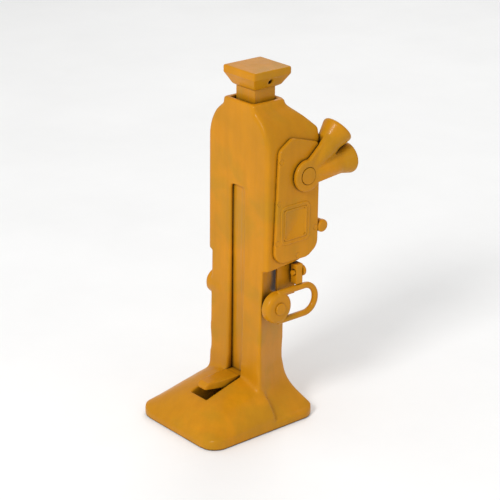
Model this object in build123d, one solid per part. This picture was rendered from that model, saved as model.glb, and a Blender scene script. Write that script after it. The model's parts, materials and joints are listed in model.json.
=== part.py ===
from build123d import *
from math import acos, cos, pi, radians, sin, tan
import os

# Mechanical track jack: a toothed rack with a head and a toe claw, raised by a pinion and a ratchet lever.
# Millimetres. +Z is up, -Y is the toe side, +X is the side with the cover, the lever and the ring handle.
# The origin is on the ground, under the axis of the rack.

os.makedirs("parts", exist_ok=True)

# ---- driving dimensions -------------------------------------------------
TOTAL_HEIGHT = 560.0
DECK_Z = 512.0
WALL = 9.0
RUNNING_GAP = 0.3  # between faces that slide or pass each other

# upper housing
UPPER_HALF_WIDTH = 70.0
UPPER_FRONT_Y = -36.0
UPPER_REAR_Y = 67.0
UPPER_BOTTOM_Z = 256.0
ARCH_CENTRE_Z = DECK_Z - UPPER_HALF_WIDTH
SHOULDER_TOP = (28.0, 504.0)
SHOULDER_FOOT = (UPPER_REAR_Y, 467.0)
COLLAR_HALF_WIDTH = 36.0
FRONT_EDGE_R = 6.0  # rounding of the front edges of the upper body

# lower column
COLUMN_FRONT_HALF = 60.5
COLUMN_REAR_HALF = 38.0
COLUMN_REAR_Y = 28.0

# base
BASE_HALF_WIDTH = 92.0
BASE_FRONT_Y = -159.0
BASE_REAR_Y = 56.5
BASE_EDGE = 15.0
BASE_CORNER_R = 27.0
FLOOR_T = 6.0

# rack and its channel
RACK_HALF_WIDTH = 26.0
RACK_FRONT_Y = -29.2
RACK_BOTTOM_Z = 14.0
RACK_SHOULDER_Z = 470.0
STEM_HALF_WIDTH = 21.25
STEM_FRONT_Y = -21.5
STEM_TOP_Z = 529.0
TENON_HALF = 16.0
TENON_TOP_Z = 549.0
GUIDE_HALF_WIDTH = 34.3
SLOT_HALF_WIDTH = 15.5
SLOT_TOP_Z = 378.0

# rack and pinion
MODULE = 4.5
PINION_TEETH = 8
PRESSURE_ANGLE = radians(25)
ADDENDUM = 3.2
DEDENDUM = 4.0
FLANK_GAP = 0.15  # taken off each flank of both parts
PITCH_R = MODULE * PINION_TEETH / 2
RACK_PITCH = pi * MODULE
PIVOT_Y = 33.0
PIVOT_Z = 401.0
PITCH_LINE_Y = PIVOT_Y - PITCH_R
RACK_REAR_Y = PITCH_LINE_Y + ADDENDUM
GAPS_BELOW = 23
GAPS_ABOVE = 2
SHAFT_R = 12.0
LEVER_JOURNAL_R = 10.0
FIT = 0.05  # radial clearance of a running fit

# ratchet and pawls
RATCHET_TEETH = 12
RATCHET_TIP_R = 24.0
RATCHET_ROOT_R = 19.5
RATCHET_LEAN = 6.5  # degrees that a tooth face leans back, so that a pawl can swing out of it
RATCHET_X = (38.0, 50.0)
PAWL_X = (39.0, 49.0)
PAWL_PIN_R = 5.0
PAWL_PIN_RADIUS = 38.0  # from the shaft axis
DRIVE_PIN_ANGLE = 110.0
DRIVE_FACE_ANGLE = 75.0
HOLDING_PIN_ANGLE = -78.0
HOLDING_FACE_ANGLE = -105.0  # a whole number of ratchet teeth from the drive pawl's face
PAWL_LIFT = 16.0  # degrees from engaged to released
LIFT_PIN_R = 2.5

# trip gear
TRIP_Y = -18.0
TRIP_Z = 198.0
TRIP_DISC_R = 24.5
TRIP_DISC_X = (68.0, 82.0)
TRIP_TURN = 30.0
CRANK_R = 16.0
CRANK_PIN_R = 4.0
TRIP_PLATE_X = (57.0, 60.5)
RING_ROD_R = 4.5
RING_END_Y = 34.5
TRIP_BOLT_R = 7.0
SHOE_OUTER_R = 29.8
SHOE_INNER_R = 24.5

# side cover and lever
COVER_X = (UPPER_HALF_WIDTH, 76.0)
COVER_OUTLINE = [(-25, 268), (42, 267), (62, 281), (62, 447), (8, 463), (-18, 447)]
COVER_CORNER_R = 13.0
COVER_FOOT_R = 20.0
COVER_EDGE_R = 1.6
WINDOW_OUTLINE = [(-9.5, 296), (-2, 279), (28, 279), (52, 300), (52, 438), (8, 450), (-7, 438)]
SCREW_PLACES = [(-13.6, 430), (56.5, 436), (-16.5, 365), (-19.2, 302), (22, 274), (56.5, 312)]
SCREW_R = 2.0
SCREW_HEAD_R = 4.0
LEVER_X = (76.4, 84.4)
LEVER_HUB_R = 25.0
HUB_SLEEVE_R = 15.0
SOCKET_PLANE_X = 73.0
SOCKET_ANGLES = (6.0, 41.0)
SOCKET_START = 18.0
SOCKET_START_R = 12.0
SOCKET_FULL = 54.0  # where a horn reaches its full girth
SOCKET_MOUTH = 91.5
SOCKET_R = 20.0
SOCKET_FLARE_R = 25.0
SOCKET_BORE_R = 16.0
SOCKET_BORE_LENGTH = 31.0

# toe claw
TOE_HALF_WIDTH = SLOT_HALF_WIDTH - RUNNING_GAP
TOE_TIP_Y = -106.0
TOE_TOP_Z = 70.0
POCKET_HALF_WIDTH = 18.5
POCKET_FRONT_Y = -111.0

TOE_PIN_Y = -18.0
TOE_PIN_Z = (32.0, 55.0)
TOE_PIN_R = 5.0
HEAD_PIN = (1.0, 541.0)
HEAD_PIN_R = 4.0

# small fittings, as (y, z) places
REAR_PIN = (72.0, 310.0)
REAR_PIN_R = 5.0
REAR_PIN_HEAD_R = 10.0
STOP_BOLT_X = 72.0
STOP_BOLT_Z = 246.0
STOP_BOLT_R = 4.0
LUG_TOP_Z = UPPER_BOTTOM_Z + 3.2

# name plate on the cover
PLATE_Y = (-8.0, 38.0)
PLATE_Z = (303.0, 353.0)


# ---- small helpers ------------------------------------------------------
def block(x, y, z):
    """A box from three (low, high) pairs."""
    size = [high - low for low, high in (x, y, z)]
    middle = [(high + low) / 2 for low, high in (x, y, z)]
    return Pos(*middle) * Box(*size)


def x_rod(y, z, radius, x):
    """A cylinder along X between the two values of x."""
    rod = Cylinder(radius, x[1] - x[0], align=(Align.CENTER, Align.CENTER, Align.MIN))
    return Pos(x[0], y, z) * Rot(0, 90, 0) * rod


def y_rod(x, z, radius, y):
    """A cylinder along Y between the two values of y."""
    rod = Cylinder(radius, y[1] - y[0], align=(Align.CENTER, Align.CENTER, Align.MIN))
    return Pos(x, y[0], z) * Rot(-90, 0, 0) * rod


def x_plate(outline, x, radius=0.0):
    """An outline of (y, z) points, its corners rounded, as a plate between the two values of x."""
    face = make_face(Polyline(*outline, close=True))
    if radius:
        face = fillet(face.vertices(), radius)
    return extrude(Plane.YZ.offset(x[0]) * face, x[1] - x[0])


def y_plate(face, y):
    """A face in (x, z) as a plate between the two values of y."""
    return extrude(Plane.XZ.offset(-y[1]) * face, y[1] - y[0])


def polar(radius, degrees, centre=(PIVOT_Y, PIVOT_Z)):
    """A (y, z) point at an angle that runs from +Y towards +Z."""
    a = radians(degrees)
    return (centre[0] + radius * cos(a), centre[1] + radius * sin(a))


def turned(shape, centre, degrees):
    """The shape turned about an axis along X through the (y, z) centre."""
    return shape.rotate(Axis((0, *centre), (1, 0, 0)), degrees)


# ---- places that follow from the driving dimensions ----------------------
HOLDING_PIN = polar(PAWL_PIN_RADIUS, HOLDING_PIN_ANGLE)
DRIVE_PIN = polar(PAWL_PIN_RADIUS, DRIVE_PIN_ANGLE)
DRIVE_LIFT = polar(29, 88)
HOLDING_LIFT = (HOLDING_PIN[0] + 5.8, HOLDING_PIN[1] - 8.1)
CRANK_PLACE = polar(CRANK_R, TRIP_TURN / 2, (TRIP_Y, TRIP_Z))


# ---- housing casting ----------------------------------------------------
def arch(half_width, bottom):
    """The upright face outline: straight sides under a half round."""
    with_sides = make_face(
        Polyline(
            (-half_width, bottom), (half_width, bottom), (half_width, ARCH_CENTRE_Z),
            (-half_width, ARCH_CENTRE_Z), close=True,
        )
    )
    return with_sides + Pos(0, ARCH_CENTRE_Z) * Circle(half_width)


def upper_housing(inset):
    """The upper body, or the hollow inside it when inset is a wall thickness."""
    low_z = UPPER_BOTTOM_Z + 1.6 * inset
    front, rear = UPPER_FRONT_Y + inset, UPPER_REAR_Y - 0.8 * inset
    slope_drop = 1.3 * inset
    side = [
        (front, low_z), (26 - inset / 2, low_z + 5), (54 - inset, low_z + 13), (rear - 3, low_z + 25),
        (rear, low_z + 38),
        (rear, SHOULDER_FOOT[1] - slope_drop), (SHOULDER_TOP[0], SHOULDER_TOP[1] - slope_drop),
        (SHOULDER_TOP[0], DECK_Z), (front, DECK_Z),
    ]
    profile = x_plate(side, (-UPPER_HALF_WIDTH, UPPER_HALF_WIDTH))
    body = y_plate(arch(UPPER_HALF_WIDTH - inset, UPPER_BOTTOM_Z - 20), (front, rear))
    if not inset:
        body = fillet(body.faces().sort_by(Axis.Y)[0].edges(), FRONT_EDGE_R)
    return body & profile


def column_face(z, front_half, front_y, rear_half, rear_y):
    outline = [(-front_half, front_y), (front_half, front_y), (rear_half, rear_y), (-rear_half, rear_y)]
    return Plane.XY.offset(z) * make_face(Polyline(*outline, close=True))


def lower_column(inset):
    """The tapering column under the upper body, or its hollow."""
    front_half, rear_half = COLUMN_FRONT_HALF - 1.1 * inset, COLUMN_REAR_HALF - inset
    front, rear = UPPER_FRONT_Y + inset, COLUMN_REAR_Y - inset
    top_z, foot_z = UPPER_BOTTOM_Z + 14, 90.0
    top = column_face(top_z, front_half, front, rear_half, rear)
    foot = column_face(foot_z, front_half + 0.8, front - 4, rear_half + 0.5, rear + 0.5)
    return loft([foot, top], ruled=True)


def flare(inset):
    """The concave sweep from the column to the sides and the rear of the base."""
    sections = [(0.0, 89, -47, 88, 55), (16.0, 86, -46, 83, 52.5), (36.0, 71, -44, 58, 43),
                (60.0, 63.5, -42, 44, 33), (90.0, 61.3, -40.5, 38.5, 28.5)]
    faces = [
        column_face(z, a - 1.1 * inset, b + inset, c - inset, d - inset) for z, a, b, c, d in sections
    ]
    return loft(faces)


def hump_section(y, crown, mid, edge, half_width):
    """A cross-section of the base's front hump: an arched top over a flat bottom."""
    top = Spline((half_width, edge), (0.65 * half_width, mid), (0, crown), (-0.65 * half_width, mid),
                 (-half_width, edge))
    rim = Polyline((-half_width, edge), (-half_width, 0), (half_width, 0), (half_width, edge))
    return Plane.XZ.offset(-y) * make_face([top, rim])


def front_hump(drop, narrower):
    """The rising front of the base, from its front edge to the column."""
    rows = [(BASE_FRONT_Y + 4, 17, 16, 14), (-143, 30, 26, 16), (-111, 50, 41, 18), (-76, 61, 50, 20),
            (-40, 70, 57, 22), (-30, 70, 57, 22)]
    faces = [
        hump_section(y, crown - drop, mid - drop, edge - drop, BASE_HALF_WIDTH - 1 - narrower)
        for y, crown, mid, edge in rows[(1 if drop else 0):]
    ]
    return loft(faces)


def base_plate():
    outline = RectangleRounded(2 * BASE_HALF_WIDTH, BASE_REAR_Y - BASE_FRONT_Y, BASE_CORNER_R)
    plate = extrude(Pos(0, (BASE_REAR_Y + BASE_FRONT_Y) / 2, 0) * outline, BASE_EDGE)
    return fillet(plate.edges().group_by(Axis.Z)[-1], 7)


def base_trim():
    """The rounded plan of the base, tall enough to trim the hump and the flare."""
    outline = RectangleRounded(2 * BASE_HALF_WIDTH, BASE_REAR_Y - BASE_FRONT_Y, BASE_CORNER_R)
    return extrude(Pos(0, (BASE_REAR_Y + BASE_FRONT_Y) / 2, 0) * outline, 120)


def housing_outside():
    body = upper_housing(0) + lower_column(0) + base_plate()
    body += (flare(0) & base_trim()) + (front_hump(0, 0) & base_trim())
    body += block((-COLLAR_HALF_WIDTH, COLLAR_HALF_WIDTH), (UPPER_FRONT_Y, SHOULDER_TOP[0]), (490, DECK_Z))
    # bosses for the trip handle on the right and its blank twin on the left
    body += x_rod(TRIP_Y, TRIP_Z, 21, (-73, -40))
    body += x_rod(TRIP_Y, TRIP_Z, 20, (40, TRIP_PLATE_X[0] - 0.7))
    # lug behind the rear edge for the rear pin
    lug_x, lug_r = (50, UPPER_HALF_WIDTH), 9.5
    body += x_rod(*REAR_PIN, lug_r, lug_x)
    return body + block(lug_x, (60, REAR_PIN[0]), (REAR_PIN[1] - lug_r, REAR_PIN[1] + lug_r))


def housing_hollow():
    hollow = upper_housing(WALL) + lower_column(WALL)
    hollow += block((-45, 45), (-28, 18), (UPPER_BOTTOM_Z - 10, UPPER_BOTTOM_Z + 40))
    hollow += flare(WALL) + (front_hump(10, 12) & block((-90, 90), (-144, -20), (-1, 120)))
    return hollow


def rack_guides():
    """Walls either side of the rack, the block behind its top and the web for the inner shaft bush."""
    sides = (-GUIDE_HALF_WIDTH, GUIDE_HALF_WIDTH)
    guides = block(sides, (UPPER_FRONT_Y + 2, RACK_REAR_Y + RUNNING_GAP), (0, 500))
    guides += block(sides, (10, COLUMN_REAR_Y - 1), (0, 300))
    guides += block(sides, (10, COLUMN_REAR_Y + 4), (452, 490))
    guides += block((27, 36), (RACK_REAR_Y, 62), (350, 428))
    guides += x_rod(PIVOT_Y, PIVOT_Z, 20, (-62, -50))
    guides += block((-POCKET_HALF_WIDTH - 8, POCKET_HALF_WIDTH + 8), (POCKET_FRONT_Y - 8, -30), (0, 45))
    return guides


def base_ribs():
    """The floor under the rack and the ribs that stiffen the hollow base."""
    ribs = block((-GUIDE_HALF_WIDTH, GUIDE_HALF_WIDTH), (-36, 27), (0, FLOOR_T))
    for x in (-56, 56):
        ribs += block((x - 3, x + 3), (-150, 50), (0, 45))
    for y in (-76, 10):
        ribs += block((-88, 88), (y - 3, y + 3), (0, 45))
    return ribs


def housing_openings():
    """Everything cut through the finished casting."""
    channel = block(
        (-RACK_HALF_WIDTH - RUNNING_GAP, RACK_HALF_WIDTH + RUNNING_GAP),
        (RACK_FRONT_Y - RUNNING_GAP, RACK_REAR_Y + RUNNING_GAP), (FLOOR_T, DECK_Z + 1),
    )
    slot_face = make_face(Polyline(
        (-SLOT_HALF_WIDTH, FLOOR_T), (SLOT_HALF_WIDTH, FLOOR_T), (SLOT_HALF_WIDTH, SLOT_TOP_Z),
        (-SLOT_HALF_WIDTH, SLOT_TOP_Z), close=True))
    slot_face = fillet(slot_face.vertices().group_by(Axis.Y)[-1], 5)
    slot = y_plate(slot_face, (-60, RACK_FRONT_Y))
    pocket = block((-POCKET_HALF_WIDTH, POCKET_HALF_WIDTH), (POCKET_FRONT_Y, -41.5), (-1, 90))
    window = x_plate(WINDOW_OUTLINE, (50, UPPER_HALF_WIDTH + 1), 5)
    pinion_room = x_rod(PIVOT_Y, PIVOT_Z, 23, (-27, 27))
    bush_seat_right = x_rod(PIVOT_Y, PIVOT_Z, 22, (20, 40))
    bush_seat_left = x_rod(PIVOT_Y, PIVOT_Z, 17, (-64, -49))
    plate_slot = block((TRIP_PLATE_X[0] - 0.6, TRIP_PLATE_X[1] + 0.6), (-7, 11), (UPPER_BOTTOM_Z - 10, 300))
    bolt_hole = x_rod(TRIP_Y, TRIP_Z, TRIP_BOLT_R - 2, (36, 70))
    plug_hole = x_rod(TRIP_Y, TRIP_Z, 10, (-74, -50))
    holding_pin_hole = x_rod(*HOLDING_PIN, PAWL_PIN_R, (27, 40))
    rear_pin_hole = x_rod(*REAR_PIN, REAR_PIN_R, (50, UPPER_HALF_WIDTH + 1))
    return [channel, slot, pocket, window, pinion_room, bush_seat_right, bush_seat_left, plate_slot,
            bolt_hole, plug_hole, holding_pin_hole, rear_pin_hole] + cover_screw_holes()


def housing_casting():
    body = housing_outside() - housing_hollow()
    body += rack_guides() & housing_outside()
    body += base_ribs() & housing_outside()
    return body - housing_openings()


# ---- cover, name plate and their fasteners ------------------------------
def cover_screw_holes():
    return [x_rod(y, z, SCREW_R, (60, UPPER_HALF_WIDTH + 1)) for y, z in SCREW_PLACES]


def side_cover():
    face = make_face(Polyline(*COVER_OUTLINE, close=True))
    face = fillet(face.vertices().sort_by(Axis.Y)[:3], COVER_FOOT_R)
    face = fillet(face.vertices().sort_by(Axis.Y)[-3:], COVER_CORNER_R)
    plate = extrude(Plane.YZ.offset(COVER_X[0]) * face, COVER_X[1] - COVER_X[0])
    plate = fillet(plate.faces().sort_by(Axis.X)[-1].edges(), COVER_EDGE_R)
    plate -= x_rod(PIVOT_Y, PIVOT_Z, HUB_SLEEVE_R + FIT, (60, 90))
    border = block((75.2, 77), (PLATE_Y[0] - 3, PLATE_Y[1] + 3), (PLATE_Z[0] - 3, PLATE_Z[1] + 3))
    plate += border - block((70, 90), PLATE_Y, PLATE_Z)
    plate -= x_rod(*HOLDING_PIN, PAWL_PIN_R, (60, 73))
    for y, z in SCREW_PLACES:
        plate -= [x_rod(y, z, SCREW_R, (60, 90)), x_rod(y, z, SCREW_HEAD_R, (73, 90))]
    return plate


def cover_screws():
    shank_x, head_x = (60, 73), (73, 75.6)
    return [x_rod(y, z, SCREW_R, shank_x) + x_rod(y, z, SCREW_HEAD_R, head_x) for y, z in SCREW_PLACES]


def name_plate():
    gap = 0.2
    return block((76, 76.8), (PLATE_Y[0] + gap, PLATE_Y[1] - gap), (PLATE_Z[0] + gap, PLATE_Z[1] - gap))


def plate_rivets():
    return [
        x_rod(y, z, 1.6, (76.8, 77.5))
        for y in (PLATE_Y[0] + 4, PLATE_Y[1] - 4)
        for z in (PLATE_Z[0] + 4, PLATE_Z[1] - 4)
    ]


# ---- rack, head and toe -------------------------------------------------
def rack_gap(centre_z):
    """The space between two rack teeth, as a wedge cut along X."""
    half = RACK_PITCH / 4 + FLANK_GAP
    slope = tan(PRESSURE_ANGLE)
    root, tip = PITCH_LINE_Y - DEDENDUM, PITCH_LINE_Y + ADDENDUM + 1
    low, high = half - DEDENDUM * slope, half + (ADDENDUM + 1) * slope
    outline = [(root, centre_z - low), (tip, centre_z - high), (tip, centre_z + high), (root, centre_z + low)]
    return x_plate(outline, (-RACK_HALF_WIDTH - 1, RACK_HALF_WIDTH + 1))


def rack_bar():
    wide = (-RACK_HALF_WIDTH, RACK_HALF_WIDTH)
    bar = block(wide, (RACK_FRONT_Y, RACK_REAR_Y), (RACK_BOTTOM_Z, RACK_SHOULDER_Z))
    bar += block((-STEM_HALF_WIDTH, STEM_HALF_WIDTH), (STEM_FRONT_Y, RACK_REAR_Y), (460, STEM_TOP_Z))
    bar += block((-TENON_HALF, TENON_HALF), (-TENON_HALF, 14), (STEM_TOP_Z - 1, TENON_TOP_Z))
    bar -= [rack_gap(PIVOT_Z + n * RACK_PITCH) for n in range(-GAPS_BELOW, GAPS_ABOVE + 1)]
    bar -= block((-TOE_HALF_WIDTH, TOE_HALF_WIDTH), (-40, -8), (0, TOE_TOP_Z - 1))
    bar -= [x_rod(TOE_PIN_Y, z, TOE_PIN_R, (-40, 40)) for z in TOE_PIN_Z]
    bar -= x_rod(*HEAD_PIN, HEAD_PIN_R, (-40, 40))
    return bar


def toe_claw():
    """The claw: a tenon in the foot of the rack and a nose through the slot."""
    outline = [(-8, RACK_BOTTOM_Z), (-50, RACK_BOTTOM_Z), (-55, 45), (-64, 55), (TOE_TIP_Y, 60),
               (TOE_TIP_Y, 66), (-99, TOE_TOP_Z), (-43, TOE_TOP_Z), (-42, TOE_TOP_Z - 1),
               (-8, TOE_TOP_Z - 1)]
    claw = x_plate(outline, (-TOE_HALF_WIDTH, TOE_HALF_WIDTH))
    plan = make_face(Polyline((-TOE_HALF_WIDTH, 0), (-TOE_HALF_WIDTH, -64), (-10, TOE_TIP_Y - 1),
                              (10, TOE_TIP_Y - 1), (TOE_HALF_WIDTH, -64), (TOE_HALF_WIDTH, 0), close=True))
    plan = fillet(plan.vertices().group_by(Axis.Y)[0], 6)
    claw &= extrude(plan, 100)
    return claw - [x_rod(TOE_PIN_Y, z, TOE_PIN_R, (-40, 40)) for z in TOE_PIN_Z]


def toe_pins():
    x = (-RACK_HALF_WIDTH + 1, RACK_HALF_WIDTH - 1)
    return [x_rod(TOE_PIN_Y, z, TOE_PIN_R, x) for z in TOE_PIN_Z]


def head_section(z, half_x, front, rear):
    return Plane.XY.offset(z) * (Pos(0, (front + rear) / 2) * Rectangle(2 * half_x, rear - front))


def head_cap():
    skirt = loft([head_section(STEM_TOP_Z, 22, -22.5, 19.5), head_section(532, 26, -26.5, 27)], ruled=True)
    taper = skirt + loft([head_section(532, 26, -26.5, 27), head_section(548, 35, -35, 37)], ruled=True)
    pad = extrude(head_section(547, 36, -36, 38), TOTAL_HEIGHT - 547)
    pad = fillet(pad.edges(), 2.5)
    cap = taper + pad
    cap -= block((-TENON_HALF, TENON_HALF), (-TENON_HALF, 14), (STEM_TOP_Z - 1, TENON_TOP_Z))
    cap -= x_rod(*HEAD_PIN, HEAD_PIN_R, (-40, 40))
    return cap


def head_pin():
    return x_rod(*HEAD_PIN, HEAD_PIN_R, (-22, 22))


# ---- pinion shaft and ratchet -------------------------------------------
def involute(angle):
    """The involute function of a pressure angle."""
    return tan(angle) - angle


def pinion_flank(radius):
    """The half angle of a pinion tooth at a radius, in radians."""
    base_r = PITCH_R * cos(PRESSURE_ANGLE)
    at_pitch = pi / (2 * PINION_TEETH) - FLANK_GAP / PITCH_R
    local = acos(min(1.0, base_r / radius))
    return at_pitch + involute(PRESSURE_ANGLE) - involute(local)


def pinion_tooth(middle):
    """One tooth as a face in (y, z), pointing at the given angle."""
    base_r = PITCH_R * cos(PRESSURE_ANGLE)
    tip_r = PITCH_R + ADDENDUM
    radii = [base_r + (tip_r - base_r) * n / 6 for n in range(7)]
    centre = (0.0, 0.0)
    left = [polar(r, middle + pinion_flank(r) * 180 / pi, centre) for r in radii]
    right = [polar(r, middle - pinion_flank(r) * 180 / pi, centre) for r in radii]
    foot = pinion_flank(base_r) * 180 / pi
    foot_left, foot_right = polar(11, middle + foot, centre), polar(11, middle - foot, centre)
    edges = [Spline(*left), Line(left[-1], right[-1]), Spline(*right), Line(right[0], foot_right),
             Line(foot_right, foot_left), Line(foot_left, left[0])]
    return make_face(edges)


def pinion_shaft():
    """The pinion and its shaft in one piece, with the seats for the ratchet wheel and the lever."""
    face = Circle(PITCH_R - DEDENDUM)
    for n in range(PINION_TEETH):
        face += pinion_tooth(180 + 360 * n / PINION_TEETH)
    pinion = extrude(Plane.YZ.offset(-24) * (Pos(PIVOT_Y, PIVOT_Z) * face), 48)
    shaft = x_rod(PIVOT_Y, PIVOT_Z, SHAFT_R, (-62, RATCHET_X[1]))
    shaft += x_rod(PIVOT_Y, PIVOT_Z, LEVER_JOURNAL_R, (RATCHET_X[1] - 1, 81.5))
    shaft += pinion
    shaft -= key_block()
    return shaft - shaft_groove()


def key_block():
    """The key's own space: half in the shaft, half in the wheel."""
    x = (RATCHET_X[0] + 1, RATCHET_X[1] - 1)
    return block(x, (PIVOT_Y - 3, PIVOT_Y + 3), (PIVOT_Z + 9, PIVOT_Z + 14.5))


def shaft_groove():
    """The space of the retaining ring before its opening is cut."""
    x = (79, 80.2)
    return x_rod(PIVOT_Y, PIVOT_Z, 12, x) - x_rod(PIVOT_Y, PIVOT_Z, 9, x)


def retaining_ring():
    return shaft_groove() - block((70, 90), (PIVOT_Y - 3, PIVOT_Y + 3), (PIVOT_Z - 14, PIVOT_Z - 5))


def ratchet_wheel():
    """Each tooth rises to a steep face that looks anticlockwise from +X."""
    step = 360 / RATCHET_TEETH
    points = []
    for n in range(RATCHET_TEETH):
        face_angle = DRIVE_FACE_ANGLE - n * step
        points += [polar(RATCHET_ROOT_R, face_angle + RATCHET_LEAN), polar(RATCHET_TIP_R, face_angle),
                   polar(RATCHET_TIP_R, face_angle - 4)]
    wheel = x_plate(points, RATCHET_X)
    return wheel - x_rod(PIVOT_Y, PIVOT_Z, SHAFT_R, RATCHET_X) - key_block()


def shaft_bush(outer_r, x):
    return x_rod(PIVOT_Y, PIVOT_Z, outer_r, x) - x_rod(PIVOT_Y, PIVOT_Z, SHAFT_R + FIT, (x[0] - 1, x[1] + 1))


# ---- pawls --------------------------------------------------------------
def pawl_outline(face_angle, pin_angle):
    """The pawl seated against its ratchet face, from the nose round to the pivot and back."""
    return [
        polar(RATCHET_ROOT_R + 0.8, face_angle + RATCHET_LEAN + 2),
        polar(RATCHET_TIP_R + 5, face_angle - 3.5), polar(37, face_angle + 10),
        polar(44, pin_angle - 6), polar(33, pin_angle + 9), polar(25, face_angle + 21),
    ]


def released(point, pin):
    """Where a point of an engaged pawl lies when the pawl is lifted."""
    a = radians(PAWL_LIFT)
    y, z = point[0] - pin[0], point[1] - pin[1]
    return (pin[0] + y * cos(a) - z * sin(a), pin[1] + y * sin(a) + z * cos(a))


def pawl(face_angle, pin_angle, pin, lobe):
    """A pawl in its released place, with a hole for the small pin that the trip plate moves."""
    body = x_plate(pawl_outline(face_angle, pin_angle), PAWL_X) + x_rod(*pin, 9, PAWL_X)
    body += x_rod(*lobe, 4, PAWL_X)
    body -= x_rod(*pin, PAWL_PIN_R + FIT, (30, 60))
    body -= x_rod(*lobe, LIFT_PIN_R, (30, 60))
    return turned(body, pin, PAWL_LIFT)


def lift_pin(place, pin):
    return x_rod(*released(place, pin), LIFT_PIN_R, (PAWL_X[0], TRIP_PLATE_X[1]))


def drive_pawl_pin():
    return x_rod(*DRIVE_PIN, PAWL_PIN_R, (34.9, 56))


def holding_pawl_pin():
    return x_rod(*HOLDING_PIN, PAWL_PIN_R, (27, 73))


def coil_spring(pin, first_x, turns):
    """A torsion coil around a pawl pin."""
    mean_r, wire_r, pitch = 6.3, 0.7, 1.8
    path = Helix(pitch, pitch * turns, mean_r)
    section = Plane(origin=path @ 0, z_dir=path % 0) * Circle(wire_r)
    return Pos(first_x + wire_r, *pin) * Rot(0, 90, 0) * sweep(section, path=path)


def pawl_carrier():
    """The arm on the inner end of the lever's sleeve that carries the drive pawl."""
    x = (51, 56)
    arm_start, arm_end = polar(8, DRIVE_PIN_ANGLE + 90), polar(8, DRIVE_PIN_ANGLE - 90)
    shift = (DRIVE_PIN[0] - PIVOT_Y, DRIVE_PIN[1] - PIVOT_Z)
    far_end = (arm_end[0] + shift[0], arm_end[1] + shift[1])
    far_start = (arm_start[0] + shift[0], arm_start[1] + shift[1])
    arm = x_plate([arm_start, arm_end, far_end, far_start], x)
    body = arm + x_rod(PIVOT_Y, PIVOT_Z, 20.5, x) + x_rod(*DRIVE_PIN, 8, x)
    return body - x_rod(PIVOT_Y, PIVOT_Z, HUB_SLEEVE_R, (40, 70)) - x_rod(*DRIVE_PIN, PAWL_PIN_R, (40, 70))


# ---- lever --------------------------------------------------------------
def socket(angle):
    """One horn: a barrel with a flared mouth, as a solid of revolution along the given angle."""
    outline = Polyline(
        (0, SOCKET_START), (SOCKET_START_R, SOCKET_START), (SOCKET_R - 1, SOCKET_FULL),
        (SOCKET_R - 1, SOCKET_MOUTH - 26),
        (SOCKET_FLARE_R, SOCKET_MOUTH - 5), (SOCKET_FLARE_R - 0.5, SOCKET_MOUTH - 1.5),
        (SOCKET_FLARE_R - 3, SOCKET_MOUTH), (0, SOCKET_MOUTH), close=True,
    )
    barrel = revolve(Plane.XZ * make_face(outline), Axis.Z)
    return Pos(SOCKET_PLANE_X, PIVOT_Y, PIVOT_Z) * Rot(angle - 90, 0, 0) * barrel


def socket_bore(angle):
    bore = Cylinder(SOCKET_BORE_R, SOCKET_BORE_LENGTH + 1, align=(Align.CENTER, Align.CENTER, Align.MIN))
    lifted = Pos(0, 0, SOCKET_MOUTH - SOCKET_BORE_LENGTH) * bore
    return Pos(SOCKET_PLANE_X, PIVOT_Y, PIVOT_Z) * Rot(angle - 90, 0, 0) * lifted


def lever_arm(angle):
    """The cheek's flat arm under one horn."""
    side_a, side_b = polar(17, angle - 90), polar(17, angle + 90)
    reach = SOCKET_MOUTH - 12
    y, z = reach * cos(radians(angle)), reach * sin(radians(angle))
    outline = [side_a, (side_a[0] + y, side_a[1] + z), (side_b[0] + y, side_b[1] + z), side_b]
    return x_plate(outline, LEVER_X)


def lever_socket():
    body = x_rod(PIVOT_Y, PIVOT_Z, LEVER_HUB_R, LEVER_X)
    for angle in SOCKET_ANGLES:
        body += lever_arm(angle)
        body += socket(angle)
    # keep the inner side clear of the housing's rear edge over the whole swing
    clear_y = UPPER_REAR_Y + 0.8
    edge_clearance = block((40, LEVER_X[0]), (-60, clear_y), (200, 600))
    body -= [edge_clearance, turned(edge_clearance, (PIVOT_Y, PIVOT_Z), 30)]
    body += x_rod(PIVOT_Y, PIVOT_Z, HUB_SLEEVE_R, (51, LEVER_X[0] + 1))
    body -= [socket_bore(angle) for angle in SOCKET_ANGLES]
    body -= x_rod(PIVOT_Y, PIVOT_Z, LEVER_JOURNAL_R + FIT, (40, 90))
    return body - x_rod(PIVOT_Y, PIVOT_Z, 13, (78, 90))


def thrust_washer():
    return x_rod(PIVOT_Y, PIVOT_Z, 12.8, (78, 79)) - x_rod(PIVOT_Y, PIVOT_Z, LEVER_JOURNAL_R + FIT, (70, 90))


def shaft_cap():
    cap = x_rod(PIVOT_Y, PIVOT_Z, 13, (82, LEVER_X[1] + 0.6))
    return fillet(cap.faces().sort_by(Axis.X)[-1].edges(), 0.7)


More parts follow.
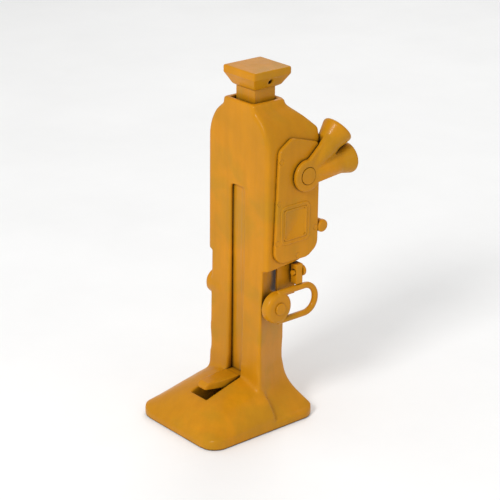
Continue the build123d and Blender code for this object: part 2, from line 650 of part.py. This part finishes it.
# ---- trip gear ----------------------------------------------------------
def trip_handle():
    """The disc with its crank pin and the rod loop that the hand pulls, in one casting."""
    disc = x_rod(TRIP_Y, TRIP_Z, TRIP_DISC_R, TRIP_DISC_X)
    disc = fillet(disc.faces().sort_by(Axis.X)[-1].edges(), 6)
    offset = TRIP_DISC_R - 1.5
    middle_x = TRIP_DISC_X[0] + 8
    path = FilletPolyline(
        (TRIP_Y, TRIP_Z + offset), (RING_END_Y + 24, TRIP_Z + offset),
        (RING_END_Y + 24, TRIP_Z - offset), (TRIP_Y, TRIP_Z - offset), radius=22.5,
    )
    plane = Plane(origin=(TRIP_Y, TRIP_Z + offset, 0), x_dir=(0, 0, 1), z_dir=(1, 0, 0))
    loop = sweep(plane * Circle(RING_ROD_R), path=path)
    loop = Pos(middle_x, 0, 0) * (Plane.YZ * loop)
    handle = disc + loop + x_rod(*CRANK_PLACE, CRANK_PIN_R, (TRIP_PLATE_X[0] - 0.1, TRIP_DISC_X[0] + 1))
    return handle - x_rod(TRIP_Y, TRIP_Z, TRIP_BOLT_R + FIT, (50, 90))


def trip_bolt():
    bolt = x_rod(TRIP_Y, TRIP_Z, TRIP_BOLT_R - 2, (44, 58)) + x_rod(TRIP_Y, TRIP_Z, TRIP_BOLT_R, (57.4, 82.3))
    head = fillet(x_rod(TRIP_Y, TRIP_Z, 9.5, (82.3, 85.3)).faces().sort_by(Axis.X)[-1].edges(), 1.5)
    return bolt + head


def trip_plate():
    """The flat bar from the crank pin up to the lifting shoe, with an arm under the holding pawl's tail."""
    x = TRIP_PLATE_X
    bar = block(x, (-6, 10), (210, 416)) + block(x, (-6, 30), (205, UPPER_BOTTOM_Z - 2))
    bar += block(x, (12, 30), (205, UPPER_BOTTOM_Z + 2.2))
    foot = block(x, (-9.4, 10), (190, 213))
    holding = released(HOLDING_LIFT, HOLDING_PIN)
    arm_top = holding[1] - LIFT_PIN_R - RUNNING_GAP
    arm = block(x, (8, holding[0] + 2), (arm_top - 8, arm_top))
    sector_points = [polar(60, a) for a in (48, 80, 120, 166)]
    sector = x_plate([(PIVOT_Y, PIVOT_Z)] + sector_points, x)
    shoe = (x_rod(PIVOT_Y, PIVOT_Z, SHOE_OUTER_R, x) - x_rod(PIVOT_Y, PIVOT_Z, SHOE_INNER_R, x)) & sector
    slot = block((50, 70), (CRANK_PLACE[0] - 4.4, CRANK_PLACE[0] + 5.2),
                 (CRANK_PLACE[1] - CRANK_PIN_R - RUNNING_GAP, CRANK_PLACE[1] + CRANK_PIN_R + RUNNING_GAP))
    return bar + foot + arm + shoe - slot


def stop_lug():
    """The lug under the housing that the loop comes up against."""
    foot_z = TRIP_Z + TRIP_DISC_R + 4
    lug = x_plate([(18, foot_z), (31, foot_z), (31, LUG_TOP_Z), (18, LUG_TOP_Z)], (64, 78))
    return lug - y_rod(STOP_BOLT_X, STOP_BOLT_Z, STOP_BOLT_R, (10, 40))


def stop_bolt():
    head = y_rod(STOP_BOLT_X, STOP_BOLT_Z, 9, (31.2, 37))
    head = fillet(head.faces().sort_by(Axis.Y)[-1].edges(), 3)
    return y_rod(STOP_BOLT_X, STOP_BOLT_Z, STOP_BOLT_R, (14, 31.4)) + head


# ---- small fittings of the housing --------------------------------------
def rear_pin():
    head = x_rod(*REAR_PIN, REAR_PIN_HEAD_R, (UPPER_HALF_WIDTH + 0.2, 77))
    head = fillet(head.faces().sort_by(Axis.X)[-1].edges(), 3)
    return x_rod(*REAR_PIN, REAR_PIN_R, (50, UPPER_HALF_WIDTH + 0.4)) + head


def left_boss_plug():
    plug = x_rod(TRIP_Y, TRIP_Z, 10, (-74.2, -54))
    return plug - block((-80, -72.5), (TRIP_Y - 12, TRIP_Y + 12), (TRIP_Z - 1.2, TRIP_Z + 1.2))


# ---- all the nodes ------------------------------------------------------
NODES = {
    "housing_casting": housing_casting(),
    "side_cover": side_cover(),
    "cover_screws": cover_screws(),
    "name_plate": name_plate(),
    "plate_rivets": plate_rivets(),
    "rack_bar": rack_bar(),
    "toe_claw": toe_claw(),
    "toe_pins": toe_pins(),
    "head_cap": head_cap(),
    "head_pin": head_pin(),
    "pinion_shaft": pinion_shaft(),
    "ratchet_wheel": ratchet_wheel(),
    "ratchet_key": key_block(),
    "retaining_ring": retaining_ring(),
    "inner_shaft_bush": shaft_bush(22, (27, 36)),
    "left_shaft_bush": shaft_bush(17, (-64, -50)),
    "lever_socket": lever_socket(),
    "thrust_washer": thrust_washer(),
    "shaft_cap": shaft_cap(),
    "pawl_carrier": pawl_carrier(),
    "drive_pawl": pawl(DRIVE_FACE_ANGLE, DRIVE_PIN_ANGLE, DRIVE_PIN, DRIVE_LIFT),
    "drive_pawl_pin": drive_pawl_pin(),
    "drive_lift_pin": lift_pin(DRIVE_LIFT, DRIVE_PIN),
    "drive_pawl_spring": coil_spring(DRIVE_PIN, 35.2, 1.2),
    "holding_pawl": pawl(HOLDING_FACE_ANGLE, HOLDING_PIN_ANGLE, HOLDING_PIN, HOLDING_LIFT),
    "holding_pawl_pin": holding_pawl_pin(),
    "holding_lift_pin": lift_pin(HOLDING_LIFT, HOLDING_PIN),
    "holding_pawl_spring": coil_spring(HOLDING_PIN, 49.6, 4),
    "trip_handle": trip_handle(),
    "trip_bolt": trip_bolt(),
    "trip_plate": trip_plate(),
    "stop_lug": stop_lug(),
    "stop_bolt": stop_bolt(),
    "rear_pin": rear_pin(),
    "left_boss_plug": left_boss_plug(),
}

for node, shape in NODES.items():
    solids = Compound(children=list(shape)) if isinstance(shape, list) else shape
    export_step(solids, f"parts/{node}.step")
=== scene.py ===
import json
from math import cos, pi, radians, sin

import bmesh
import bpy
import numpy as np
from mathutils import Matrix, Vector


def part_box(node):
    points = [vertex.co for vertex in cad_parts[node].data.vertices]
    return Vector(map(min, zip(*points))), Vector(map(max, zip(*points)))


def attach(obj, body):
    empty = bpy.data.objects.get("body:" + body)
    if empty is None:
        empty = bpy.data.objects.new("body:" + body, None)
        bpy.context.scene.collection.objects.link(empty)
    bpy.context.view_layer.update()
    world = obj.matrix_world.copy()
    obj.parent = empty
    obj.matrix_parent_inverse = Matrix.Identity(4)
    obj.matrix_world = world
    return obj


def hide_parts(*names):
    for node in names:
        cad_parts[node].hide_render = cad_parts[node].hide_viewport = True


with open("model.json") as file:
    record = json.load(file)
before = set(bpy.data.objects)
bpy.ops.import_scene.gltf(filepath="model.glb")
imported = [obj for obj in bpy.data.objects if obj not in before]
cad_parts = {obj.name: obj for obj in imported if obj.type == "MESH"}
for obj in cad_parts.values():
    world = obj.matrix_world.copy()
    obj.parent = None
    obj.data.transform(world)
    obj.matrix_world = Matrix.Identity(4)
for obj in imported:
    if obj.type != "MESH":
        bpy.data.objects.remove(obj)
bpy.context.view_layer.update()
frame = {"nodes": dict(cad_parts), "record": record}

# A cast track jack. The castings are shown as softened copies of their solids, with the rounded
# edges of sand casting; the machined pieces keep their own faces. Metres, +Z up, the toe towards -Y.

NODES = frame["nodes"]
BODY_OF = {
    node: body
    for body, members in frame["record"]["behaviour"]["bodies"].items()
    for node in members
}

# ---- sizes --------------------------------------------------------------
MM = 0.001
CAST_VOXEL = 1.5 * MM      # cell of the remesh that softens the housing
SMALL_VOXEL = 0.8 * MM     # the same for small castings
BROAD_ROUNDS = 70          # extra relaxing of the broad fillets at the foot and the deck
HANDLE_OUTSIDE_X = 67 * MM  # the handle's disc and loop are outside this, its crank pin inside
HANDLE_SWELL = 0.55 * MM

# ---- camera -------------------------------------------------------------
CAMERA_PLACE = (1.9145, -1.6450, 1.2601)
CAMERA_TARGET = (0.0, 0.0, 0.280)
CAMERA_ROLL = radians(0.69)
CAMERA_LENS = 126.4
CAMERA_SHIFT = (-0.0094, -0.0185)

# ---- light --------------------------------------------------------------
WORLD_STRENGTH = 0.66
LIGHT_TARGET = (0.0, 0.0, 0.3)
SOFTBOXES = [  # name, place, width in metres, power in watts
    ("key", (0.8, -2.6, 2.4), 0.9, 60),
    ("side", (3.2, 0.4, 1.6), 1.4, 4),
    ("back", (-1.6, 2.2, 2.6), 1.6, 22),
]


# ---- node helpers -------------------------------------------------------
class Graph:
    """A short way to build a material's node tree."""

    def __init__(self, name):
        self.material = bpy.data.materials.new(name)
        self.material.use_nodes = True
        self.tree = self.material.node_tree
        self.shader = self.tree.nodes["Principled BSDF"]
        self.place = self.add("ShaderNodeTexCoord").outputs["Object"]

    def add(self, kind, **settings):
        node = self.tree.nodes.new(kind)
        for key, value in settings.items():
            setattr(node, key, value)
        return node

    def link(self, source, target):
        self.tree.links.new(source, target)

    def noise(self, scale, detail=4.0, roughness=0.5, distortion=0.0, where=None):
        node = self.add("ShaderNodeTexNoise")
        node.inputs["Scale"].default_value = scale
        node.inputs["Detail"].default_value = detail
        node.inputs["Roughness"].default_value = roughness
        node.inputs["Distortion"].default_value = distortion
        self.link(where or self.place, node.inputs["Vector"])
        return node.outputs["Fac"]

    def cells(self, scale):
        """Soft rounded cells, for the orange peel of sprayed enamel."""
        node = self.add("ShaderNodeTexVoronoi", feature="SMOOTH_F1")
        node.inputs["Scale"].default_value = scale
        node.inputs["Randomness"].default_value = 0.9
        self.link(self.place, node.inputs["Vector"])
        return node.outputs["Distance"]

    def stretched(self, factors):
        """Object coordinates scaled differently along each axis."""
        node = self.add("ShaderNodeMapping")
        node.inputs["Scale"].default_value = factors
        self.link(self.place, node.inputs["Vector"])
        return node.outputs["Vector"]

    def ramp(self, fac, low, high, start=0.0, end=1.0):
        """fac from low..high onto start..end, held at both ends."""
        node = self.add("ShaderNodeMapRange", clamp=True)
        for name, value in (("From Min", low), ("From Max", high), ("To Min", start), ("To Max", end)):
            node.inputs[name].default_value = value
        self.link(fac, node.inputs["Value"])
        return node.outputs["Result"]

    def maths(self, operation, a, b):
        node = self.add("ShaderNodeMath", operation=operation)
        for socket, value in zip(node.inputs, (a, b)):
            if isinstance(value, (int, float)):
                socket.default_value = value
            else:
                self.link(value, socket)
        return node.outputs["Value"]

    def mix(self, fac, a, b, blend="MIX"):
        node = self.add("ShaderNodeMix", data_type="RGBA", blend_type=blend)
        for socket, value in ((node.inputs[0], fac), (node.inputs[6], a), (node.inputs[7], b)):
            if isinstance(value, (int, float)):
                socket.default_value = value
            elif isinstance(value, tuple):
                socket.default_value = (*value, 1.0)
            else:
                self.link(value, socket)
        return node.outputs[2]

    def hollow(self, distance, low, high):
        """1 in corners and recesses nearer than distance, 0 on open faces."""
        node = self.add("ShaderNodeAmbientOcclusion", samples=8)
        node.inputs["Distance"].default_value = distance
        return self.ramp(node.outputs["AO"], low, high, 1.0, 0.0)

    def edge(self, low, high):
        """1 on sharp outer edges, from the curvature of the mesh."""
        node = self.add("ShaderNodeNewGeometry")
        return self.ramp(node.outputs["Pointiness"], low, high)

    def bump(self, height, distance, strength=1.0, after=None):
        node = self.add("ShaderNodeBump")
        node.inputs["Strength"].default_value = strength
        node.inputs["Distance"].default_value = distance
        self.link(height, node.inputs["Height"])
        if after is not None:
            self.link(after, node.inputs["Normal"])
        return node.outputs["Normal"]

    def finish(self, colour, roughness, normal, metallic=0.0, coat=0.0, specular=0.5):
        for name, value in (("Base Color", colour), ("Roughness", roughness), ("Normal", normal),
                            ("Metallic", metallic)):
            if isinstance(value, (int, float)):
                self.shader.inputs[name].default_value = value
            else:
                self.link(value, self.shader.inputs[name])
        self.shader.inputs["Coat Weight"].default_value = coat
        self.shader.inputs["Coat Roughness"].default_value = 0.12
        self.shader.inputs["Specular IOR Level"].default_value = specular
        return self.material


# ---- materials ----------------------------------------------------------
OCHRE = (0.515, 0.214, 0.004)
OCHRE_LIGHT = (0.610, 0.240, 0.004)
OCHRE_OLIVE = (0.445, 0.216, 0.006)
OCHRE_DEEP = (0.350, 0.132, 0.004)
GRIME_AND_SHADE = (0.110, 0.052, 0.006)
SHADE = (0.040, 0.020, 0.004)
BARE_STEEL = (0.33, 0.31, 0.29)
GREASE = (0.030, 0.024, 0.018)


def paint_colour(g):
    """Ochre enamel: orange and olive clouds, thin flow marks, painted shade in the corners (made
    patchy like grime) and painted deep shade in the cavities.
    """
    clouds = g.ramp(g.noise(9.0, 3.0, 0.55), 0.38, 0.62)
    olive = g.ramp(g.noise(16.0, 3.0, 0.5, 0.4), 0.50, 0.66)
    runs = g.ramp(g.noise(1.0, 4.0, 0.6, where=g.stretched((60.0, 60.0, 7.0))), 0.40, 0.70)
    speckle = g.ramp(g.noise(700.0, 2.0, 0.6), 0.60, 0.80)
    colour = g.mix(clouds, OCHRE, OCHRE_LIGHT)
    colour = g.mix(g.maths("MULTIPLY", olive, 0.60), colour, OCHRE_OLIVE)
    colour = g.mix(g.maths("MULTIPLY", runs, 0.22), colour, OCHRE_DEEP)
    colour = g.mix(g.maths("MULTIPLY", speckle, 0.20), colour, OCHRE_DEEP)
    patchy = g.ramp(g.noise(55.0, 5.0, 0.6), 0.30, 0.72, 0.55, 1.0)
    # Painted shade in the corners and creases, made patchy so it also reads as grime; it also roughens
    # the paint there.
    grime_and_shade = g.maths("MULTIPLY", g.hollow(0.005, 0.42, 0.86), patchy)
    colour = g.mix(g.maths("MULTIPLY", grime_and_shade, 0.85), colour, GRIME_AND_SHADE)
    # Painted deep shade: recesses within 45 mm turn near black.
    return g.mix(g.hollow(0.045, 0.14, 0.46), colour, SHADE), grime_and_shade


def cast_paint():
    """Thick enamel over sand-cast steel: pimples and pits of the mould, orange peel, chipped edges,
    and edges lightened partly as worn paint and partly as a painted highlight.
    """
    g = Graph("cast_paint")
    colour, grime_and_shade = paint_colour(g)
    # Lighter ochre on the sharpest edges: partly worn paint, partly a painted highlight where rounded
    # edges catch the light.
    wear_and_highlight = g.maths("MULTIPLY", g.edge(0.535, 0.60), g.ramp(g.noise(120.0, 5.0, 0.7), 0.50, 0.60))
    colour = g.mix(g.maths("MULTIPLY", wear_and_highlight, 0.80), colour, OCHRE_LIGHT)
    chips = g.maths("MULTIPLY", g.edge(0.56, 0.66), g.ramp(g.noise(260.0, 4.0, 0.7), 0.60, 0.66))
    colour = g.mix(chips, colour, (0.12, 0.085, 0.055))
    roughness = g.maths("ADD", g.ramp(g.noise(35.0, 5.0, 0.6), 0.3, 0.7, 0.30, 0.44),
                        g.maths("MULTIPLY", grime_and_shade, 0.25))
    swell = g.bump(g.noise(38.0, 3.0, 0.5), 0.0014, 0.55)
    sand = g.bump(g.noise(420.0, 4.0, 0.62), 0.00022, 0.60, swell)
    peel = g.bump(g.cells(900.0), 0.00010, 0.45, sand)
    return g.finish(colour, roughness, peel, 0.0, 0.10, 0.11)


def sheet_paint():
    """The same enamel over machined steel: smoother, with orange peel only."""
    g = Graph("sheet_paint")
    colour, grime_and_shade = paint_colour(g)
    roughness = g.maths("ADD", g.ramp(g.noise(50.0, 4.0, 0.6), 0.3, 0.7, 0.28, 0.40),
                        g.maths("MULTIPLY", grime_and_shade, 0.25))
    soft = g.bump(g.noise(90.0, 3.0, 0.5), 0.0005, 0.5)
    peel = g.bump(g.cells(800.0), 0.00010, 0.5, soft)
    return g.finish(colour, roughness, peel, 0.0, 0.10, 0.11)


def rack_finish():
    """Painted stem with rubbed streaks along its travel; steel and grease on the toothed rear."""
    g = Graph("rack_finish")
    colour, grime_and_shade = paint_colour(g)
    streaks = g.noise(1.0, 5.0, 0.65, where=g.stretched((520.0, 520.0, 9.0)))
    rubbed = g.maths("MULTIPLY", g.ramp(streaks, 0.56, 0.64), 0.35)
    colour = g.mix(rubbed, colour, (0.30, 0.22, 0.12))
    depth = g.add("ShaderNodeSeparateXYZ")
    g.link(g.place, depth.inputs[0])
    teeth_front, teeth_top = 10.0 * MM, 445.0 * MM
    behind = g.ramp(depth.outputs["Y"], teeth_front - 0.0005, teeth_front + 0.0005)
    below = g.ramp(depth.outputs["Z"], teeth_top - 0.001, teeth_top + 0.001, 1.0, 0.0)
    toothed = g.maths("MULTIPLY", behind, below)
    grease = g.mix(g.ramp(g.noise(70.0, 5.0, 0.6), 0.42, 0.62), BARE_STEEL, GREASE)
    colour = g.mix(toothed, colour, grease)
    roughness = g.maths("ADD", g.ramp(streaks, 0.3, 0.7, 0.26, 0.42), g.maths("MULTIPLY", grime_and_shade, 0.2))
    lines = g.bump(streaks, 0.00020, 0.5)
    sand = g.bump(g.noise(420.0, 3.0, 0.6), 0.00012, 0.4, lines)
    return g.finish(colour, roughness, sand, g.maths("MULTIPLY", toothed, 0.85), 0.08, 0.18)


def machined_steel():
    """Turned and ground steel with fine tool marks, oil film and a little brown oxide."""
    g = Graph("machined_steel")
    marks = g.noise(1.0, 4.0, 0.7, where=g.stretched((2600.0, 260.0, 260.0)))
    oil = g.ramp(g.noise(45.0, 5.0, 0.6), 0.42, 0.66)
    colour = g.mix(g.ramp(marks, 0.3, 0.7), (0.36, 0.35, 0.33), (0.52, 0.50, 0.47))
    colour = g.mix(g.maths("MULTIPLY", oil, 0.55), colour, (0.14, 0.10, 0.06))
    oxide = g.ramp(g.noise(160.0, 6.0, 0.7), 0.60, 0.70)
    colour = g.mix(g.maths("MULTIPLY", oxide, 0.5), colour, (0.20, 0.075, 0.025))
    roughness = g.maths("ADD", g.ramp(marks, 0.3, 0.7, 0.22, 0.36), g.maths("MULTIPLY", oxide, 0.25))
    return g.finish(colour, roughness, g.bump(marks, 0.00006, 0.6), 0.92, 0.0, 0.5)


def spring_steel():
    """Blued spring wire with drawn lines and oil."""
    g = Graph("spring_steel")
    lines = g.noise(1.0, 3.0, 0.6, where=g.stretched((1800.0, 400.0, 400.0)))
    tint = g.ramp(g.noise(80.0, 3.0, 0.5), 0.38, 0.62)
    colour = g.mix(tint, (0.060, 0.070, 0.100), (0.150, 0.125, 0.105))
    roughness = g.ramp(lines, 0.3, 0.7, 0.24, 0.40)
    return g.finish(colour, roughness, g.bump(lines, 0.00003, 0.6), 0.9, 0.0, 0.5)


def bearing_bronze():
    """Turned bronze, darkened by grease."""
    g = Graph("bearing_bronze")
    turned = g.noise(1.0, 3.0, 0.6, where=g.stretched((3000.0, 200.0, 200.0)))
    dull = g.ramp(g.noise(60.0, 5.0, 0.6), 0.40, 0.65)
    colour = g.mix(g.ramp(turned, 0.3, 0.7), (0.55, 0.33, 0.13), (0.68, 0.44, 0.19))
    colour = g.mix(g.maths("MULTIPLY", dull, 0.6), colour, (0.16, 0.085, 0.035))
    roughness = g.ramp(turned, 0.3, 0.7, 0.25, 0.40)
    return g.finish(colour, roughness, g.bump(turned, 0.00005, 0.6), 0.92, 0.0, 0.5)


def floor_finish():
    """Pale studio floor with the faintest mottling."""
    g = Graph("floor_finish")
    tone = g.ramp(g.noise(3.0, 5.0, 0.6), 0.3, 0.7)
    colour = g.mix(tone, (0.93, 0.93, 0.925), (0.97, 0.97, 0.965))
    return g.finish(colour, 0.62, g.bump(g.noise(220.0, 3.0, 0.5), 0.0002, 0.3), 0.0, 0.0, 0.3)


# ---- mesh helpers -------------------------------------------------------
def welded_copy(node):
    """A copy of a CAD node's mesh with its seams closed."""
    mesh = NODES[node].data.copy()
    bm = bmesh.new()
    bm.from_mesh(mesh)
    bmesh.ops.remove_doubles(bm, verts=bm.verts, dist=1e-6)
    bm.to_mesh(mesh)
    bm.free()
    return mesh


def applied(obj):
    """Makes the object's modifiers part of its mesh."""
    shown = obj.evaluated_get(bpy.context.evaluated_depsgraph_get())
    mesh = bpy.data.meshes.new_from_object(shown)
    obj.modifiers.clear()
    obj.data = mesh


def add_piece(name, mesh, material, node):
    """A visible piece that stands for a CAD node and moves with its body."""
    obj = bpy.data.objects.new(name, mesh)
    bpy.context.scene.collection.objects.link(obj)
    mesh.materials.clear()
    mesh.materials.append(material)
    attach(obj, BODY_OF[node])
    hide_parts(node)
    return obj


def rising(values, low, high):
    """0 below low, 1 above high and a straight rise between, for an array."""
    return np.clip((values - low) / (high - low), 0.0, 1.0)


def coordinates(mesh):
    """The places of a mesh's vertices, one row each."""
    places = np.empty(3 * len(mesh.vertices))
    mesh.vertices.foreach_get("co", places)
    return places.reshape(-1, 3)


def broaden_fillets(obj):
    """Relaxes the foot and the deck of the housing further, away from the slot and the stem."""
    x, _, z = coordinates(obj.data).T
    foot = rising(z, 16 * MM, 26 * MM) * (1.0 - rising(z, 104 * MM, 124 * MM))
    deck = rising(z, 486 * MM, 496 * MM)
    weights = np.round(rising(abs(x), 26 * MM, 34 * MM) * np.maximum(foot, deck), 1)
    zone = obj.vertex_groups.new(name="broad")
    for weight in np.unique(weights):
        zone.add(np.flatnonzero(weights == weight).tolist(), float(weight), "REPLACE")
    sweep = obj.modifiers.new("broad", "SMOOTH")
    sweep.factor = 0.5
    sweep.iterations = BROAD_ROUNDS
    sweep.vertex_group = "broad"
    applied(obj)


def swell_handle(obj):
    """Gives back what relaxing took off the disc and the loop's rod."""
    for vertex in obj.data.vertices:
        if vertex.co.x > HANDLE_OUTSIDE_X:
            vertex.co += vertex.normal * HANDLE_SWELL


def softened(node, voxel, rounds, material):
    """A casting with rounded edges: the node's solid, remeshed and relaxed."""
    mesh = welded_copy(node)
    obj = add_piece(node + "_cast", mesh, material, node)
    remesh = obj.modifiers.new("cells", "REMESH")
    remesh.mode = "VOXEL"
    remesh.voxel_size = voxel
    relax = obj.modifiers.new("relax", "SMOOTH")
    relax.factor = 0.5
    relax.iterations = rounds
    applied(obj)
    if node == "housing_casting":
        broaden_fillets(obj)
    if node == "trip_handle":
        swell_handle(obj)
    obj.data.materials.clear()
    obj.data.materials.append(material)
    obj.data.shade_smooth()
    return obj


def finish_node(node, material):
    """Gives a CAD node that stays visible its own finish."""
    obj = NODES[node]
    obj.data.materials.clear()
    obj.data.materials.append(material)


def rounded_rectangle(y_range, z_range, radius, steps=6):
    """Points of a rounded rectangle in (y, z), anticlockwise from its lower right corner."""
    points = []
    for quarter, (y_side, z_side) in enumerate(((1, 0), (1, 1), (0, 1), (0, 0))):
        y = y_range[y_side] + (radius if y_side == 0 else -radius)
        z = z_range[z_side] + (radius if z_side == 0 else -radius)
        for step in range(steps + 1):
            a = (quarter - 1 + step / steps) * pi / 2
            points.append((y + radius * cos(a), z + radius * sin(a)))
    return points


def pressed_rim(name, material, y_range, z_range, back_x, corner, profile, filled):
    """A mesh that sweeps a (inset, height) profile in millimetres round a rounded rectangle."""
    bm = bmesh.new()
    rings = []
    for inset, height in profile:
        inset *= MM
        y_inner, z_inner = [(low + inset, high - inset) for low, high in (y_range, z_range)]
        outline = rounded_rectangle(y_inner, z_inner, corner - inset)
        rings.append([bm.verts.new((back_x + height * MM, y, z)) for y, z in outline])
    pairs = list(zip(rings, rings[1:]))
    if not filled:
        pairs.append((rings[-1], rings[0]))
    for outer, inner in pairs:
        for n in range(len(outer)):
            m = (n + 1) % len(outer)
            bm.faces.new((outer[n], outer[m], inner[m], inner[n]))
    if filled:
        bm.faces.new(rings[-1])
        bm.faces.new(reversed(rings[0]))
    mesh = bpy.data.meshes.new(name)
    bm.to_mesh(mesh)
    bm.free()
    mesh.materials.append(material)
    mesh.shade_smooth()
    return mesh


def name_plate(material):
    """The blank plate with its raised rim, and the wider raised frame that is cast round it."""
    low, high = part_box("name_plate")
    # profiles as (how far in from the edge, how high above the plate's back)
    rim = [(0.0, 0.0), (0.0, 0.9), (0.4, 1.4), (1.4, 1.7), (2.4, 1.4), (3.0, 0.8), (3.4, 0.6)]
    y_range, z_range = (low.y, high.y), (low.z, high.z)
    mesh = pressed_rim("name_plate_rim", material, y_range, z_range, low.x, 5.0 * MM, rim, True)
    plate = add_piece("name_plate_rim", mesh, material, "name_plate")
    plate.modifiers.new("edges", "EDGE_SPLIT").split_angle = radians(50)
    spread = 7.0 * MM
    frame_rim = [(0.0, -0.5), (0.5, 0.5), (1.4, 1.1), (2.4, 1.3), (3.4, 1.1), (4.3, 0.5), (4.8, -0.5)]
    y_range, z_range = (low.y - spread, high.y + spread), (low.z - spread, high.z + spread)
    mesh = pressed_rim("plate_frame", material, y_range, z_range, low.x, 11.0 * MM, frame_rim, False)
    border = bpy.data.objects.new("plate_frame", mesh)
    bpy.context.scene.collection.objects.link(border)
    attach(border, BODY_OF["side_cover"])


# ---- pieces -------------------------------------------------------------
CAST = cast_paint()
SHEET = sheet_paint()
RACK = rack_finish()
STEEL = machined_steel()
SPRING = spring_steel()
BRONZE = bearing_bronze()

SOFTENED = [  # node, cell of its remesh, rounds of relaxing
    ("housing_casting", CAST_VOXEL, 22),
    ("lever_socket", 1.0 * MM, 30),
    ("trip_handle", SMALL_VOXEL, 6),
    ("toe_claw", SMALL_VOXEL, 14),
    ("head_cap", SMALL_VOXEL, 14),
    ("side_cover", 0.7 * MM, 5),
    ("stop_lug", SMALL_VOXEL, 6),
]
for node, voxel, rounds in SOFTENED:
    softened(node, voxel, rounds, CAST)

name_plate(SHEET)

FINISHES = {
    "painted_steel": SHEET,
    "painted_casting": CAST,
    "bare_steel": STEEL,
    "spring_steel": SPRING,
    "bronze": BRONZE,
}
SLOT_OF = {entry["node"]: entry["material_slot"] for entry in frame["record"]["subparts"]}
for node in NODES:
    if not NODES[node].hide_render:
        finish_node(node, RACK if node == "rack_bar" else FINISHES[SLOT_OF[node]])


# ---- floor, light and camera --------------------------------------------
def add_floor():
    size = 6.0  # half the width of the floor
    bm = bmesh.new()
    corners = ((-size, -size), (size, -size), (size, size), (-size, size))
    bm.faces.new([bm.verts.new((x, y, 0.0)) for x, y in corners])
    mesh = bpy.data.meshes.new("floor")
    bm.to_mesh(mesh)
    bm.free()
    mesh.materials.append(floor_finish())
    obj = bpy.data.objects.new("floor", mesh)
    bpy.context.scene.collection.objects.link(obj)


def add_light(name, place, size, power):
    """A square white softbox turned towards the middle of the object."""
    light = bpy.data.lights.new(name, "AREA")
    light.size = size
    light.energy = power
    obj = bpy.data.objects.new(name, light)
    obj.location = place
    obj.rotation_euler = (Vector(LIGHT_TARGET) - Vector(place)).to_track_quat("-Z", "Y").to_euler()
    bpy.context.scene.collection.objects.link(obj)


def add_world(strength):
    world = bpy.data.worlds.new("studio")
    world.use_nodes = True
    background = world.node_tree.nodes["Background"]
    background.inputs["Color"].default_value = (1.0, 1.0, 1.0, 1.0)
    background.inputs["Strength"].default_value = strength
    bpy.context.scene.world = world


def add_camera():
    data = bpy.data.cameras.new("camera")
    data.lens = CAMERA_LENS
    data.sensor_width = 36.0
    data.shift_x, data.shift_y = CAMERA_SHIFT
    data.clip_end = 50.0
    obj = bpy.data.objects.new("camera", data)
    aim = (Vector(CAMERA_TARGET) - Vector(CAMERA_PLACE)).to_track_quat("-Z", "Y").to_matrix()
    roll = Matrix.Rotation(CAMERA_ROLL, 3, "Z")
    obj.matrix_world = Matrix.Translation(CAMERA_PLACE) @ (aim @ roll).to_4x4()
    bpy.context.scene.collection.objects.link(obj)
    bpy.context.scene.camera = obj


add_floor()
add_world(WORLD_STRENGTH)
for softbox in SOFTBOXES:
    add_light(*softbox)
add_camera()
bpy.context.scene.view_settings.view_transform = "Standard"
